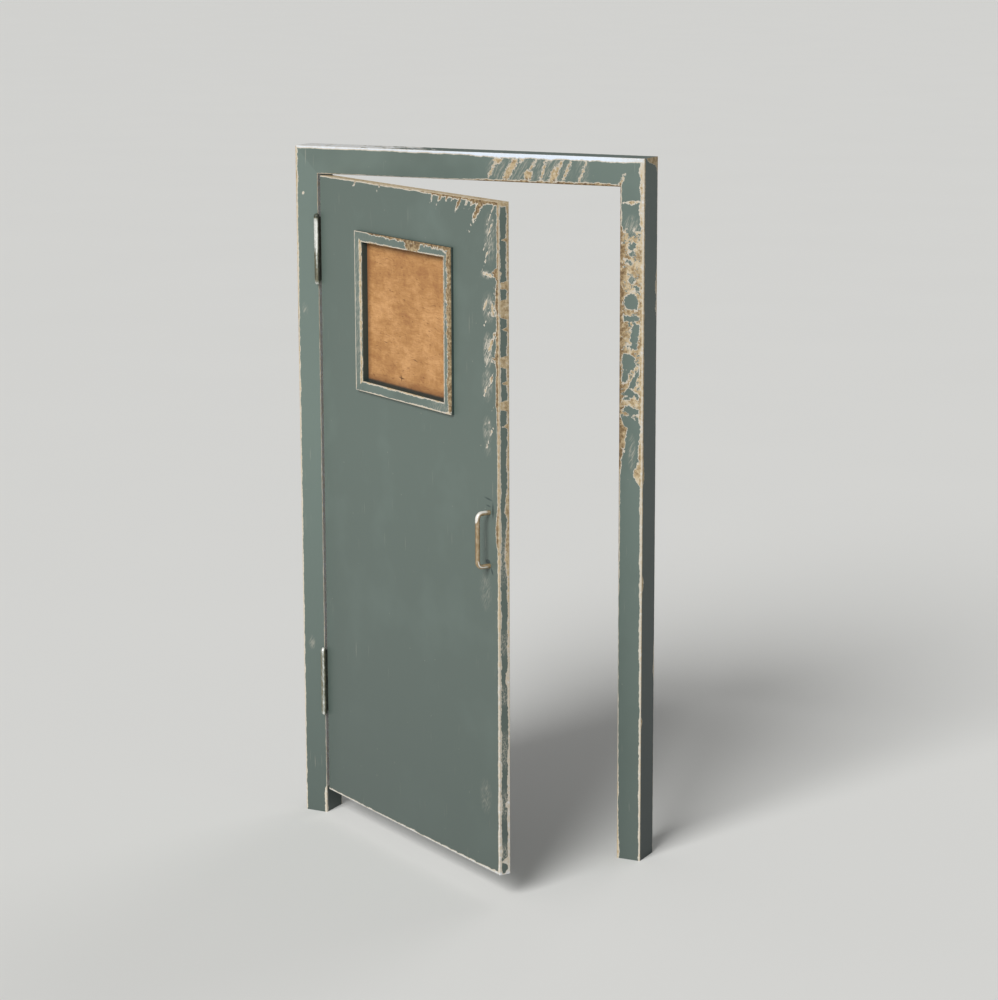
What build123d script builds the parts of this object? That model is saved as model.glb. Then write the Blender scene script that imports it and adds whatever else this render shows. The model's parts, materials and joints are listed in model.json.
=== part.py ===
from build123d import *
import os

# A steel door standing ajar in its frame: mitred box sections, two barrel hinges,
# a hollow folded-sheet leaf, a boarded window with mitred beads and a round-bar pull.
# Millimetres. X runs from the hinge side to the lock side, Y from the front to the
# back and Z up. The origin is at the foot of the hinge jamb's outer face, at mid depth.

# Frame sections
FRAME_WIDTH = 1215.0
FRAME_HEIGHT = 2200.0
FRAME_DEPTH = 100.0
JAMB_FACE = 80.0
HEAD_FACE = 87.0
FRAME_WALL = 5.0
FRAME_CORNER = 3.0
FRAME_INSIDE_CORNER = 2.0

# Gaps round the closed leaf
HINGE_GAP = 5.0
LOCK_GAP = 6.5
HEAD_GAP = 5.0
FLOOR_GAP = 82.0

# Leaf
LEAF_THICKNESS = 38.0
SHEET = 1.5
FOLD_INSIDE = 1.0
BACK_SHEET_PLAY = 0.2
CHANNEL_FLANGE = 30.0
CHANNEL_WALL = 3.0
CHANNEL_CORNER = 2.5
HINGE_STILE_WALL = 5.0
AJAR_ANGLE = 30.35

# Window
WINDOW_FROM_HINGE_EDGE = 233.0
WINDOW_FROM_LEAF_TOP = 153.0
WINDOW_WIDTH = 567.0
WINDOW_HEIGHT = 501.0
STILE_BEAD_BAND = 42.0
RAIL_BEAD_BAND = 32.0
BEAD_PROUD = 11.0
STILE_BEAD_BEVEL = 25.0
BEAD_BEVEL_DROP = 1.2
BEAD_SHEET = 2.0
BEAD_FOOT = 10.0
BEAD_COVER = 20.0
LINER_SHEET = 2.0
BOARD_THICKNESS = 16.0
BOARD_PLAY = 1.0

# Hinges
HINGE_AXIS_FORWARD = 11.5
UPPER_HINGE_FROM_LEAF_TOP = 233.5
LOWER_HINGE_FROM_LEAF_FOOT = 370.0
KNUCKLES = 5
KNUCKLE_LENGTH = 40.4
KNUCKLE_PLAY = 0.4
BARREL_RADIUS = 9.5
PIN_RADIUS = 6.3
PIN_PLAY = 0.05
HINGE_PLATE = 3.1
HINGE_PLATE_WIDTH = 30.0
HINGE_PLATE_PLAY = 0.2
TIP_LENGTH = 12.0
TIP_SHOULDER = 4.0
TIP_NOSE = 8.5
TIP_NOSE_RADIUS = 8.0
TIP_END_RADIUS = 4.0
TIP_SPIGOT = 14.0
PIN_END_PLAY = 0.5

# Pull handle
HANDLE_FROM_LOCK_EDGE = 49.5
HANDLE_FROM_LEAF_FOOT = 1027.5
HANDLE_CENTRES = 161.0
HANDLE_REACH = 42.0
HANDLE_BAR_RADIUS = 7.0
HANDLE_BEND = 16.0

# Planes that the pieces share
FRAME_FRONT = -FRAME_DEPTH / 2
OPENING_LEFT = JAMB_FACE
OPENING_RIGHT = FRAME_WIDTH - JAMB_FACE
OPENING_TOP = FRAME_HEIGHT - HEAD_FACE

LEAF_LEFT = OPENING_LEFT + HINGE_GAP
LEAF_RIGHT = OPENING_RIGHT - LOCK_GAP
LEAF_FOOT = FLOOR_GAP
LEAF_TOP = OPENING_TOP - HEAD_GAP
LEAF_WIDTH = LEAF_RIGHT - LEAF_LEFT
LEAF_HEIGHT = LEAF_TOP - LEAF_FOOT
LEAF_FRONT = FRAME_FRONT
LEAF_BACK = LEAF_FRONT + LEAF_THICKNESS
LEAF_MIDDLE = (LEAF_FRONT + LEAF_BACK) / 2
CAVITY = LEAF_THICKNESS - 2 * SHEET

WINDOW_X = LEAF_LEFT + WINDOW_FROM_HINGE_EDGE + WINDOW_WIDTH / 2
WINDOW_Z = LEAF_TOP - WINDOW_FROM_LEAF_TOP - WINDOW_HEIGHT / 2
CUTOUT_WIDTH = WINDOW_WIDTH - 2 * BEAD_COVER
CUTOUT_HEIGHT = WINDOW_HEIGHT - 2 * BEAD_COVER

AXIS_X = OPENING_LEFT + HINGE_GAP / 2
AXIS_Y = FRAME_FRONT - HINGE_AXIS_FORWARD
BARREL_LENGTH = KNUCKLES * KNUCKLE_LENGTH
PLATE_NEAR = HINGE_GAP / 2
PLATE_FAR = PLATE_NEAR + HINGE_PLATE
HINGE_HEIGHTS = {
    "upper": LEAF_TOP - UPPER_HINGE_FROM_LEAF_TOP,
    "lower": LEAF_FOOT + LOWER_HINGE_FROM_LEAF_FOOT,
}


def write(shape, node):
    """Writes one sub-part to its own file."""
    export_step(Compound(children=list(shape.solids())), f"parts/{node}.step")


def block(low, high):
    """A box between two corners."""
    size = [b - a for a, b in zip(low, high)]
    centre = [(a + b) / 2 for a, b in zip(low, high)]
    return Pos(*centre) * Box(*size)


def swing(shape):
    """Turns a piece of the closed leaf about the hinge axis to where the leaf stands."""
    return Pos(AXIS_X, AXIS_Y) * Rot(0, 0, -AJAR_ANGLE) * Pos(-AXIS_X, -AXIS_Y) * shape


# Frame


def box_section(width, height):
    """The frame's hollow section seen end on, centred on its axis."""
    outside = RectangleRounded(width, height, FRAME_CORNER)
    inside = RectangleRounded(width - 2 * FRAME_WALL, height - 2 * FRAME_WALL, FRAME_INSIDE_CORNER)
    return outside - inside


def mitre_plane():
    """The cut from the frame's outer top corner to the opening's corner, facing the head."""
    return Plane(origin=(0, 0, FRAME_HEIGHT), z_dir=(HEAD_FACE, 0, JAMB_FACE))


def mirrored(shape):
    """The same piece on the lock side of the frame."""
    return mirror(shape, about=Plane.YZ.offset(FRAME_WIDTH / 2))


def plate_pocket(height, side):
    """The room a hinge plate takes out of the jamb (side -1) or the closed leaf (side 1)."""
    foot = height - BARREL_LENGTH / 2
    near = AXIS_X + side * PLATE_NEAR
    far = AXIS_X + side * PLATE_FAR
    front = FRAME_FRONT - HINGE_PLATE_PLAY
    back = FRAME_FRONT + HINGE_PLATE_WIDTH + HINGE_PLATE_PLAY
    low = (min(near, far), front, foot - HINGE_PLATE_PLAY)
    high = (max(near, far), back, foot + BARREL_LENGTH + HINGE_PLATE_PLAY)
    return block(low, high)


def make_frame():
    tube = extrude(Pos(JAMB_FACE / 2, 0) * box_section(JAMB_FACE, FRAME_DEPTH), amount=FRAME_HEIGHT)
    jamb = split(tube, bisect_by=mitre_plane(), keep=Keep.BOTTOM)
    write(mirrored(jamb), "strike_jamb")
    for height in HINGE_HEIGHTS.values():
        jamb -= plate_pocket(height, -1)
    write(jamb, "hinge_jamb")

    section = Plane.YZ * Pos(0, FRAME_HEIGHT - HEAD_FACE / 2) * box_section(FRAME_DEPTH, HEAD_FACE)
    head = extrude(section, amount=FRAME_WIDTH)
    head = split(head, bisect_by=mitre_plane(), keep=Keep.TOP)
    head = split(mirrored(head), bisect_by=mitre_plane(), keep=Keep.TOP)
    write(head, "frame_head")


# Leaf


def folded_slab(inset, radius, back):
    """The leaf's outline, with the folds round its front face meeting in mitres."""
    low = (LEAF_LEFT + inset, LEAF_FRONT + inset, LEAF_FOOT + inset)
    high = (LEAF_RIGHT - inset, back, LEAF_TOP - inset)
    slab = block(low, high)
    front = slab.faces().sort_by(Axis.Y)[0]
    upright_folds = fillet(front.edges().filter_by(Axis.Z), radius)
    level_folds = fillet(front.edges().filter_by(Axis.X), radius)
    return upright_folds & level_folds


def window_cutout():
    """The opening cut through both sheets, under the beads."""
    half_width = CUTOUT_WIDTH / 2
    half_height = CUTOUT_HEIGHT / 2
    low = (WINDOW_X - half_width, LEAF_FRONT, WINDOW_Z - half_height)
    high = (WINDOW_X + half_width, LEAF_BACK, WINDOW_Z + half_height)
    return block(low, high)


def front_tray():
    """The front sheet, folded back round all four edges of the leaf."""
    outside = folded_slab(0, FOLD_INSIDE + SHEET, LEAF_BACK)
    inside = folded_slab(SHEET, FOLD_INSIDE, LEAF_BACK + SHEET)
    tray = outside - inside - window_cutout()
    for height in HINGE_HEIGHTS.values():
        tray -= plate_pocket(height, 1)
    return tray


def back_sheet():
    """The flat sheet that closes the tray, let in flush with the ends of its folds."""
    inset = SHEET + BACK_SHEET_PLAY
    low = (LEAF_LEFT + inset, LEAF_BACK - SHEET, LEAF_FOOT + inset)
    high = (LEAF_RIGHT - inset, LEAF_BACK, LEAF_TOP - inset)
    sheet = block(low, high)
    sheet = fillet(sheet.edges().filter_by(Axis.Y), FOLD_INSIDE)
    return sheet - window_cutout()


def channel(length, wall):
    """A folded channel standing on Z, its web on the YZ plane and its flanges along X."""
    outside = Pos(CHANNEL_FLANGE / 2, 0) * Rectangle(CHANNEL_FLANGE, CAVITY)
    outside = fillet(outside.vertices().group_by(Axis.X)[0], CHANNEL_CORNER)
    inside = Pos(wall + CHANNEL_FLANGE / 2, 0) * Rectangle(CHANNEL_FLANGE, CAVITY - 2 * CHANNEL_WALL)
    return extrude(outside - inside, amount=length)


def make_channels():
    """The four channels inside the tray's folds, which keep the two sheets apart."""
    end_play = SHEET + FOLD_INSIDE
    stile_length = LEAF_HEIGHT - 2 * end_play
    stile_foot = LEAF_FOOT + end_play
    left = LEAF_LEFT + SHEET
    right = LEAF_RIGHT - SHEET
    hinge_stile = Pos(left, LEAF_MIDDLE, stile_foot) * channel(stile_length, HINGE_STILE_WALL)
    for height in HINGE_HEIGHTS.values():
        hinge_stile -= plate_pocket(height, 1)
    lock_stile = Rot(0, 0, 180) * channel(stile_length, CHANNEL_WALL)
    lock_stile = Pos(right, LEAF_MIDDLE, stile_foot) * lock_stile

    rail_left = left + CHANNEL_FLANGE
    rail_right = right - CHANNEL_FLANGE
    rail = channel(rail_right - rail_left, CHANNEL_WALL)
    top_rail = Pos(rail_left, LEAF_MIDDLE, LEAF_TOP - SHEET) * Rot(0, 90, 0) * rail
    foot_rail = Pos(rail_right, LEAF_MIDDLE, LEAF_FOOT + SHEET) * Rot(0, -90, 0) * rail

    write(swing(hinge_stile), "leaf_hinge_stile")
    write(swing(lock_stile), "leaf_lock_stile")
    write(swing(top_rail), "leaf_top_channel")
    write(swing(foot_rail), "leaf_bottom_channel")


def make_leaf():
    write(swing(front_tray()), "leaf_front_sheet")
    write(swing(back_sheet()), "leaf_back_sheet")
    make_channels()


# Window


def bead_profile(band):
    """The folded bead seen end on: X runs in over the board and Y out from the leaf's face."""
    board_depth = (LEAF_THICKNESS - BOARD_THICKNESS) / 2
    bevel = band * STILE_BEAD_BEVEL / STILE_BEAD_BAND
    outside = Polyline(
        (0, 0),
        (0, BEAD_PROUD),
        (band - bevel, BEAD_PROUD),
        (band, BEAD_PROUD - BEAD_BEVEL_DROP),
        (band, -board_depth),
        (band - BEAD_FOOT, -board_depth),
    )
    return make_face(offset(outside, amount=BEAD_SHEET, side=Side.RIGHT))


def mitred_bead(length, band, neighbour):
    """A bead along X with its outer edge on the X axis, mitred to beads of the neighbour's width."""
    bead = extrude(Plane.YZ * bead_profile(band), amount=length / 2, both=True)
    for end in (-1, 1):
        mitre = Plane(origin=(end * length / 2, 0, 0), z_dir=(-end * band, -neighbour, 0))
        bead = split(bead, bisect_by=mitre, keep=Keep.TOP)
    return bead


def make_beads(face, leaf_side, hinge_turn):
    """The four mitred beads on one face of the leaf, in the plane given for that face."""
    half_width = WINDOW_WIDTH / 2
    half_height = WINDOW_HEIGHT / 2
    rail = mitred_bead(WINDOW_WIDTH, RAIL_BEAD_BAND, STILE_BEAD_BAND)
    stile = mitred_bead(WINDOW_HEIGHT, STILE_BEAD_BAND, RAIL_BEAD_BAND)
    beads = {
        "bottom": Pos(0, -half_height) * rail,
        "top": Pos(0, half_height) * Rot(0, 0, 180) * rail,
        "hinge_side": Pos(-hinge_turn * half_width, 0) * Rot(0, 0, -90 * hinge_turn) * stile,
        "lock_side": Pos(hinge_turn * half_width, 0) * Rot(0, 0, 90 * hinge_turn) * stile,
    }
    for name, bead in beads.items():
        write(swing(face.location * bead), f"window_{leaf_side}_bead_{name}")


def make_window():
    front = Plane(origin=(WINDOW_X, LEAF_FRONT, WINDOW_Z), x_dir=(1, 0, 0), z_dir=(0, -1, 0))
    back = Plane(origin=(WINDOW_X, LEAF_BACK, WINDOW_Z), x_dir=(-1, 0, 0), z_dir=(0, 1, 0))
    middle = Plane(origin=(WINDOW_X, LEAF_MIDDLE, WINDOW_Z), x_dir=(1, 0, 0), z_dir=(0, -1, 0))
    make_beads(front, "front", 1)
    make_beads(back, "back", -1)

    liner_outside = Rectangle(CUTOUT_WIDTH + 2 * LINER_SHEET, CUTOUT_HEIGHT + 2 * LINER_SHEET)
    liner = liner_outside - Rectangle(CUTOUT_WIDTH, CUTOUT_HEIGHT)
    write(swing(extrude(middle * liner, amount=CAVITY / 2, both=True)), "window_liner")

    board = Rectangle(CUTOUT_WIDTH - 2 * BOARD_PLAY, CUTOUT_HEIGHT - 2 * BOARD_PLAY)
    write(swing(extrude(middle * board, amount=BOARD_THICKNESS / 2, both=True)), "window_board")


# Hinges


def knuckle(first, side):
    """Every second knuckle with the neck that joins it to its plate, on the hinge axis."""
    neck_width = PLATE_FAR - PLATE_NEAR
    neck_reach = BARREL_RADIUS + KNUCKLE_PLAY
    neck_x = side * (PLATE_NEAR + PLATE_FAR) / 2
    section = Circle(BARREL_RADIUS) + Pos(neck_x, neck_reach / 2) * Rectangle(neck_width, neck_reach)
    section -= Circle(PIN_RADIUS + PIN_PLAY)
    ring = extrude(section, amount=KNUCKLE_LENGTH - KNUCKLE_PLAY)
    return [Pos(0, 0, KNUCKLE_PLAY / 2 + n * KNUCKLE_LENGTH) * ring for n in range(first, KNUCKLES, 2)]


def hinge_half(first, side):
    """One hinge plate with its knuckles, standing on the axis with the barrel's foot at 0."""
    near = side * PLATE_NEAR
    far = side * PLATE_FAR
    front = BARREL_RADIUS + KNUCKLE_PLAY
    back = HINGE_AXIS_FORWARD + HINGE_PLATE_WIDTH
    half = block((min(near, far), front, 0), (max(near, far), back, BARREL_LENGTH))
    for ring in knuckle(first, side):
        half += ring
    return half


def bullet_tip():
    """The turned tip below the barrel, its shoulder at 0 and its nose tapered in two cuts."""
    half_section = Polyline(
        (0, 0),
        (BARREL_RADIUS, 0),
        (BARREL_RADIUS, -TIP_SHOULDER),
        (TIP_NOSE_RADIUS, -TIP_NOSE),
        (TIP_END_RADIUS, -TIP_LENGTH),
        (0, -TIP_LENGTH),
        close=True,
    )
    return revolve(Plane.XZ * make_face(half_section), axis=Axis.Z)


def make_hinge(name, height):
    foot = height - BARREL_LENGTH / 2
    place = Pos(AXIS_X, AXIS_Y, foot)
    write(place * hinge_half(0, -1), f"{name}_hinge_frame_plate")
    write(swing(place * hinge_half(1, 1)), f"{name}_hinge_leaf_plate")

    shaft_foot = TIP_SPIGOT + PIN_END_PLAY
    shaft = Pos(0, 0, shaft_foot) * extrude(Circle(PIN_RADIUS), amount=BARREL_LENGTH - shaft_foot)
    pin = shaft + Pos(0, 0, BARREL_LENGTH) * Rot(180, 0, 0) * bullet_tip()
    write(place * pin, f"{name}_hinge_pin")
    plug = bullet_tip() + extrude(Circle(PIN_RADIUS), amount=TIP_SPIGOT)
    write(place * plug, f"{name}_hinge_bottom_tip")


# Pull handle


def make_handle():
    handle_x = LEAF_RIGHT - HANDLE_FROM_LOCK_EDGE
    handle_z = LEAF_FOOT + HANDLE_FROM_LEAF_FOOT
    half = HANDLE_CENTRES / 2
    feet = Plane(origin=(handle_x, LEAF_FRONT, handle_z), x_dir=(0, -1, 0), z_dir=(1, 0, 0))
    path = FilletPolyline(
        (0, -half), (HANDLE_REACH, -half), (HANDLE_REACH, half), (0, half), radius=HANDLE_BEND
    )
    start = Plane(origin=(0, -half, 0), z_dir=(1, 0, 0))
    bar = sweep(start * Circle(HANDLE_BAR_RADIUS), path=path)
    write(swing(feet.location * bar), "pull_handle")


def main():
    os.makedirs("parts", exist_ok=True)
    make_frame()
    make_leaf()
    make_window()
    for name, height in HINGE_HEIGHTS.items():
        make_hinge(name, height)
    make_handle()


main()
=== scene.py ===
"""Dresses the steel door and its frame: chipped enamel, rust, plywood, worn hinges, screws and bolts."""

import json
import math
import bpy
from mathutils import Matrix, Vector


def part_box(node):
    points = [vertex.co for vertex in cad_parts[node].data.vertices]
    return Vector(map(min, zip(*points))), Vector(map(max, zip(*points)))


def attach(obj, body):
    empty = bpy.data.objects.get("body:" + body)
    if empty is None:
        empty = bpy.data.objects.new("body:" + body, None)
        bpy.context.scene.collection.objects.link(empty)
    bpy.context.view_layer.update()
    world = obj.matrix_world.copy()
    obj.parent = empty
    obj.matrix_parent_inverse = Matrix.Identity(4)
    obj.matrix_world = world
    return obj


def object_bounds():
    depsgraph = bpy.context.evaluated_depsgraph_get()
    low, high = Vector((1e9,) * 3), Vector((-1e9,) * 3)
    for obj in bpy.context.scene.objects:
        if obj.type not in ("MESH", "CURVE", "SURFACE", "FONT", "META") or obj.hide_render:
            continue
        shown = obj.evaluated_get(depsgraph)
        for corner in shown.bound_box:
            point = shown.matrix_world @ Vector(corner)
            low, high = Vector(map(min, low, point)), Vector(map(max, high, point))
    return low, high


bl_info = {
    "name": "Worn Steel Door",
    "version": (1, 0, 0),
    "blender": (4, 5, 0),
    "location": "View3D > Sidebar > Steel Door",
    "description": "Finishes a steel door that stands ajar in its frame, with its fixings",
    "category": "Object",
}

import bmesh
import bpy
from bpy.props import FloatProperty, FloatVectorProperty, PointerProperty
from mathutils import Matrix, Vector

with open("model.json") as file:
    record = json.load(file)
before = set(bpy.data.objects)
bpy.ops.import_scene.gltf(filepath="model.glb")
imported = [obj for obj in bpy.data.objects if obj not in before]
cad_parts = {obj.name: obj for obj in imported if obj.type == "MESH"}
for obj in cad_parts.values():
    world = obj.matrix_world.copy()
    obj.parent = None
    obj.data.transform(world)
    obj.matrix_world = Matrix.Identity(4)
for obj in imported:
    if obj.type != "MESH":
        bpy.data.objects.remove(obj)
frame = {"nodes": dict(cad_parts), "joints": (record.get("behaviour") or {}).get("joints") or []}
CAD_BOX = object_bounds()
NODES = frame["nodes"]
HINGE = next(joint for joint in frame["joints"] if joint["name"] == "leaf_hinge")

# Millimetres in a metre, because finishes and fixings are sized in millimetres
MM = 1000.0
# The widest worn strip that a strip profile can ask for, in millimetres
WIDEST = 100.0
# How deep a chip or a scuff on a face goes on round a fold, in millimetres
SHEET_REACH = 25.0


def linear(code):
    """A colour written as an sRGB hex value, as linear red, green and blue."""
    parts = [int(code[i:i + 2], 16) / 255 for i in (1, 3, 5)]
    return [p / 12.92 if p <= 0.04045 else ((p + 0.055) / 1.055) ** 2.4 for p in parts]


def closing_turn():
    """The matrix that swings the leaf from where it stands ajar to closed in the frame."""
    pivot = Vector(HINGE["pos_m"])
    turn = Matrix.Rotation(math.radians(HINGE["range_deg"][0]), 4, Vector(HINGE["axis"]))
    return Matrix.Translation(pivot) @ turn @ Matrix.Translation(-pivot)


def box_when_closed(name):
    """Lowest and highest corner of a leaf node in the closed door, in metres."""
    points = [CLOSING @ vertex.co for vertex in NODES[name].data.vertices]
    low = Vector(min(p[i] for p in points) for i in range(3))
    high = Vector(max(p[i] for p in points) for i in range(3))
    return low, high


CLOSING = closing_turn()
LEAF_LOW, LEAF_HIGH = box_when_closed("leaf_front_sheet")
LEAF_CORNER = Vector((LEAF_LOW.x, LEAF_LOW.y, 0.0))
LEAF_WIDTH = (LEAF_HIGH.x - LEAF_LOW.x) * MM
LEAF_DEPTH = (LEAF_HIGH.y - LEAF_LOW.y) * MM
LEAF_FOOT = LEAF_LOW.z * MM
LEAF_TOP = LEAF_HIGH.z * MM
FRAME_LOW = CAD_BOX[0] * MM
FRAME_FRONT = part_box("frame_head")[0].y * MM
FRAME_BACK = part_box("frame_head")[1].y * MM
FRAME_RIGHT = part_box("strike_jamb")[1].x * MM
FRAME_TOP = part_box("frame_head")[1].z * MM
HEAD_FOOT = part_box("frame_head")[0].z * MM
# Width of a jamb's front face
JAMB_FACE = 80.0


def tint(name, description, code):
    """A colour that the panel offers."""
    return FloatVectorProperty(
        name=name, description=description, subtype="COLOR", size=3, min=0, max=1, default=linear(code))


def measure(name, description, value, low, high=1000.0):
    """A length that the panel offers."""
    return FloatProperty(
        name=name, description=description, subtype="DISTANCE", unit="LENGTH", default=value,
        min=low, max=high)


class DoorFinish(bpy.types.PropertyGroup):
    """Colours of the enamel, the primer, the bare and rusted steel and the board."""

    enamel: tint("Enamel", "Grey green gloss paint of the leaf and frame", "#5A6760")
    enamel_faded: tint("Faded Enamel", "The same paint where light has bleached it", "#64726B")
    # Also painted shade: the paint goes over to this colour towards the floor, where less light falls
    enamel_foot: tint("Dirty Enamel", "The same paint near the floor, dulled by splashes", "#4A5550")
    primer: tint("Primer", "Chalky coat that shows as a thin rim round each chip", "#C2BAAB")
    rust_dark: tint("Dark Rust", "Old rust in the deepest chips", "#46362A")
    rust: tint("Rust", "Dry brown rust film on bare steel", "#755E3E")
    rust_pale: tint("Pale Rust", "Tan rust film, rubbed thin", "#998463")
    stained_primer: tint("Stained Primer", "Primer that rust has turned golden along the edges", "#BEAB89")
    # Near white and bluish: bare steel with a painted reflection of the sky in its colour
    rubbed_steel_sheen: tint("Rubbed Steel", "Steel rubbed bright on the most exposed edges", "#D7E1ED")
    # Also painted shade: the window's reveals, the gap behind the hinge edge, the strike jamb's outer side
    # and the board above the sill are darkened with this colour
    soot_and_shade: tint("Soot", "Old dirt on ledges and in the window's reveals", "#1C2E2E")
    plywood: tint("Plywood", "Face veneer of the board", "#AE7F4C")
    # Painted shade: the board darkens to this along the beads
    plywood_shaded: tint("Dark Plywood", "Stained veneer along the beads", "#6C4228")
    rim: FloatProperty(
        name="Primer Rim", description="Width of the pale rim round a chip, in millimetres",
        default=2.4, min=0.2, max=8)
    coat: measure("Paint Thickness", "Step from the paint down to the steel", 0.0004, 0.00005, 0.002)


class DoorFixings(bpy.types.PropertyGroup):
    """Sizes of the screws and bolts."""

    screw_head: measure("Screw Head", "Diameter of a countersunk screw head", 0.0092, 0.004, 0.02)
    screw_slot: measure("Screw Slot", "Width of the slot in a screw head", 0.0012, 0.0005, 0.003)
    bolt_flats: measure("Bolt Across Flats", "Size of the hexagon of a pull bolt", 0.013, 0.008, 0.03)
    washer: measure("Washer", "Outer diameter of a pull bolt's washer", 0.020, 0.010, 0.04)


class DoorStage(bpy.types.PropertyGroup):
    """The studio: floor, light and camera."""

    floor_colour: tint("Floor", "Matt pale studio floor", "#E2E2DF")
    floor_size: measure("Floor Size", "Length of one side of the floor", 300.0, 5.0)
    key: FloatProperty(
        name="Key Light", description="Strength of the broad soft light in front and above",
        default=3.3, min=0)
    fill: FloatProperty(
        name="Fill Light", description="Strength of the weak light behind", default=0.33, min=0)
    sky: FloatProperty(
        name="Sky", description="Strength of the even white light all round", default=0.21, min=0)
    lens: FloatProperty(
        name="Lens", description="Focal length in millimetres on a 36 mm frame",
        default=103.61, min=10, max=400)


def add(tree, kind, inputs=(), out=0, **settings):
    """Adds one shader node, sets it up, fills or links its inputs and returns one of its outputs.

    inputs is a dict by name or number, or a row in the node's own order."""
    made = tree.nodes.new("ShaderNode" + kind)
    for name, value in settings.items():
        setattr(made, name, value)
    if not isinstance(inputs, dict):
        inputs = dict(enumerate(inputs))
    for name, value in inputs.items():
        if isinstance(value, bpy.types.NodeSocket):
            tree.links.new(value, made.inputs[name])
        elif made.inputs[name].type == "RGBA":
            made.inputs[name].default_value = (*value, 1.0)
        else:
            made.inputs[name].default_value = value
    return made.outputs[out] if made.outputs else made


def begin(name):
    """An empty material with a node tree and no nodes."""
    material = bpy.data.materials.new(name)
    material.use_nodes = True
    material.node_tree.nodes.clear()
    return material, material.node_tree


def close(material, looks):
    """Sends a shader with these looks to the material's output, and gives the material back."""
    tree = material.node_tree
    add(tree, "OutputMaterial", {"Surface": add(tree, "BsdfPrincipled", looks)})
    return material


def dress(material, names):
    """Gives a CAD node, or several, one material in every slot."""
    for name in names:
        for slot in NODES[name].material_slots:
            slot.material = material


def millimetres(tree, body):
    """The place on the door in millimetres: in the shared frame, or on the leaf as if it were closed.

    On the leaf X runs from the hinge edge, Y back from the front sheet and Z up from the floor."""
    coordinates = add(tree, "TexCoord").node.outputs["Object"]
    if body == "frame":
        return add(tree, "Mapping", {"Vector": coordinates, "Scale": (MM, MM, MM)})
    shift = (CLOSING.translation - LEAF_CORNER) * MM
    return add(tree, "Mapping", {
        "Vector": coordinates, "Location": shift, "Rotation": CLOSING.to_euler(), "Scale": (MM, MM, MM)})


def split(tree, place):
    """The three coordinates of a place, by name."""
    return dict(zip("XYZ", add(tree, "SeparateXYZ", {0: place}).node.outputs))


def combine(tree, operation, *fields):
    """Runs one sum over several fields, such as the largest of them."""
    total = fields[0]
    for field in fields[1:]:
        total = add(tree, "Math", (total, field), operation=operation)
    return total


def grain(tree, place, scale, spread, detail=2.0, roughness=0.5):
    """Noise of one scale, read between two levels and spread over two values."""
    noise = add(tree, "TexNoise", {
        "Vector": place, "Scale": scale, "Detail": detail, "Roughness": roughness})
    return add(tree, "MapRange", (noise, *spread))


def layered(tree, colour, *layers):
    """Lays colours over one another, each through its own mask."""
    for mask, over in layers:
        colour = add(tree, "Mix", {0: mask, 6: colour, 7: over}, out=2, data_type="RGBA")
    return colour


def shaded(tree, tone, *stops):
    """A colour that follows a tone through pairs of place and colour, from the first to the last."""
    ramp = add(tree, "ValToRGB", (tone,))
    points = ramp.node.color_ramp.elements
    for point, (spot, colour) in zip(points, (stops[0], stops[-1])):
        point.position = spot
        point.color = (*colour, 1)
    for spot, colour in stops[1:-1]:
        points.new(spot).color = (*colour, 1)
    return ramp


def along(tree, coordinate, stops, full=1.0):
    """A value that follows one coordinate through pairs of place and value."""
    low, high = stops[0][0], stops[-1][0]
    part = add(tree, "MapRange", (coordinate, low, high))
    stops = [((spot - low) / (high - low), [value / full] * 3) for spot, value in stops]
    return combine(tree, "MULTIPLY", shaded(tree, part, *stops), full)


def apart(tree, coordinate, value):
    """How far a coordinate lies from a value, on either side."""
    return add(tree, "Math", (combine(tree, "SUBTRACT", coordinate, value),), operation="ABSOLUTE")


def reach(tree, place, at, size, lean=0.0):
    """How far out from the middle of an oval a place lies, 1 on its outline. lean tips its top right."""
    local = add(tree, "Mapping", {
        "Vector": place, "Location": at, "Rotation": (0, math.radians(lean), 0), "Scale": size},
        vector_type="TEXTURE")
    return add(tree, "VectorMath", (local,), out=1, operation="LENGTH")


def ragged(tree, place, coarse, fine):
    """Uneven edge of a paint loss: slow bites and small nicks, in millimetres either way."""
    bites = grain(tree, place, 1 / 38, (0.3, 0.7, -coarse, coarse), 2.0)
    nicks = grain(tree, place, 1 / 9, (0.3, 0.7, -fine, fine), 3.0)
    return combine(tree, "ADD", bites, nicks)


def arris(tree, axes, fixed, widths, rough, side=1.0):
    """How far inside the worn strip along an arris a place lies, in millimetres.

    fixed holds the two coordinates of the arris, and widths follows the third."""
    free = next(name for name in "XYZ" if name not in fixed)
    distances = [apart(tree, axes[name], value) for name, value in fixed.items()]
    distances[1] = combine(tree, "MULTIPLY", distances[1], side)
    width = along(tree, axes[free], widths, WIDEST)
    wobble = combine(tree, "MULTIPLY", width, 1 / 15)
    wobble = combine(tree, "MINIMUM", wobble, 1.6)
    inside = add(tree, "Math", (wobble, rough, width), operation="MULTIPLY_ADD")
    return combine(tree, "SUBTRACT", inside, combine(tree, "MAXIMUM", *distances))


def chip(tree, place, front, spot, size, lean=0.0):
    """How far inside one oval chip or scratch on a front face a place lies, in millimetres.

    spot is across and up, size is the half width and half length, and lean tips its top to the right."""
    oval = reach(tree, place, (spot[0], front, spot[1]), (size[0], SHEET_REACH, size[1]), lean)
    inside = combine(tree, "SUBTRACT", 1.0, oval)
    return combine(tree, "MULTIPLY", inside, min(size))


def patchy(tree, place, window, size, bare):
    """A mottled loss, in millimetres, inside a window from 0 to 1: islands of paint among bare spots."""
    spots = add(tree, "TexNoise", {"Vector": place, "Scale": 1 / size, "Detail": 3.0})
    level = combine(tree, "SUBTRACT", spots, 0.5 - bare)
    depth = combine(tree, "MULTIPLY", level, size * 1.6)
    outside = combine(tree, "SUBTRACT", window, 1.0)
    return add(tree, "Math", (outside, size * 2, depth), operation="MULTIPLY_ADD")


# Worn coating


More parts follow.
